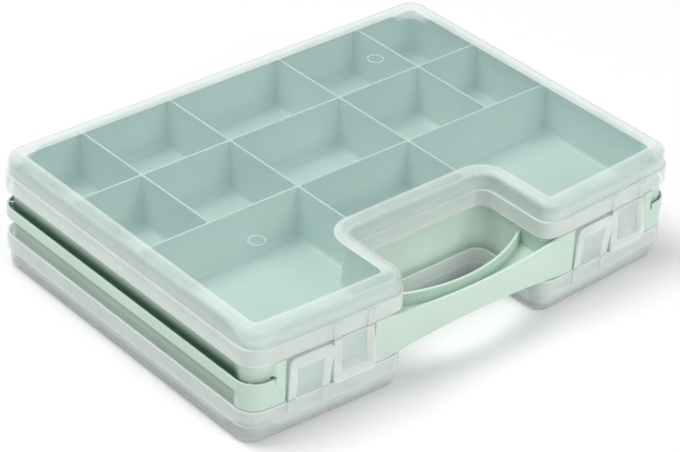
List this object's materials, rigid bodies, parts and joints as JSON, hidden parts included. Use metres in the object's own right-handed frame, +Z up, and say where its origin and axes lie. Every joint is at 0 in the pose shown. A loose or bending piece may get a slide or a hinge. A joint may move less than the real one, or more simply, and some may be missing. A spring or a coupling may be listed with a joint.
{
  "type": "double-sided organizer case",
  "caption": "Organizer case open on both faces, with divided compartments, a carrying handle in a front notch, and a clear hinged lid with snap latches on each face.",
  "frame": {"origin": "on the table under the middle of the outer box, the case lying on its lower lid", "axes": "+X along the front from the left latches to the right ones, +Y from the handle to the hinges, +Z up through the upper lid"},
  "size_m": [0.35, 0.2662, 0.082],
  "materials": {
    "green_body": "pale green moulded plastic, lightly glossy",
    "clear_lid": "clear moulded plastic, slightly milky, glossy"
  },
  "bodies": {
    "case": {"floor_plate": "green_body", "outer_wall": "green_body", "belt": "green_body", "front_plates_left": "green_body", "front_plates_right": "green_body", "latch_bosses": "green_body", "top_long_dividers": "green_body", "top_cross_dividers": "green_body", "bottom_long_dividers": "green_body", "bottom_cross_dividers": "green_body", "handle_outer_wall": "green_body", "handle_inner_wall": "green_body", "handle_web": "green_body", "hinge_arms": "green_body"},
    "top_lid": {"top_lid": "clear_lid", "top_lid_knuckles": "clear_lid"},
    "bottom_lid": {"bottom_lid": "clear_lid", "bottom_lid_knuckles": "clear_lid"},
    "top_latch_left": {"top_latch_left": "clear_lid"},
    "top_latch_right": {"top_latch_right": "clear_lid"},
    "bottom_latch_left": {"bottom_latch_left": "clear_lid"},
    "bottom_latch_right": {"bottom_latch_right": "clear_lid"}
  },
  "joints": [
    {"name": "top_lid_hinge", "type": "hinge", "parent": "case", "child": "top_lid", "pos_m": [0, 0.13005, 0.06275], "axis": [-1, 0, 0], "range_deg": [0, 180]},
    {"name": "bottom_lid_hinge", "type": "hinge", "parent": "case", "child": "bottom_lid", "pos_m": [0, 0.13005, 0.01925], "axis": [1, 0, 0], "range_deg": [0, 180]},
    {"name": "top_latch_left_flex", "type": "hinge", "parent": "top_lid", "child": "top_latch_left", "pos_m": [-0.09998, -0.12909, 0.05565], "axis": [-0.9992, 0.0391, 0], "range_deg": [0, 20], "stiffness_Nm_per_rad": 0.2},
    {"name": "top_latch_right_flex", "type": "hinge", "parent": "top_lid", "child": "top_latch_right", "pos_m": [0.13098, -0.12769, 0.05565], "axis": [-0.9987, -0.0513, 0], "range_deg": [0, 20], "stiffness_Nm_per_rad": 0.2},
    {"name": "bottom_latch_left_flex", "type": "hinge", "parent": "bottom_lid", "child": "bottom_latch_left", "pos_m": [-0.13098, -0.12769, 0.02635], "axis": [0.9987, -0.0513, 0], "range_deg": [0, 20], "stiffness_Nm_per_rad": 0.2},
    {"name": "bottom_latch_right_flex", "type": "hinge", "parent": "bottom_lid", "child": "bottom_latch_right", "pos_m": [0.09998, -0.12909, 0.02635], "axis": [0.9992, 0.0391, 0], "range_deg": [0, 20], "stiffness_Nm_per_rad": 0.2}
  ]
}
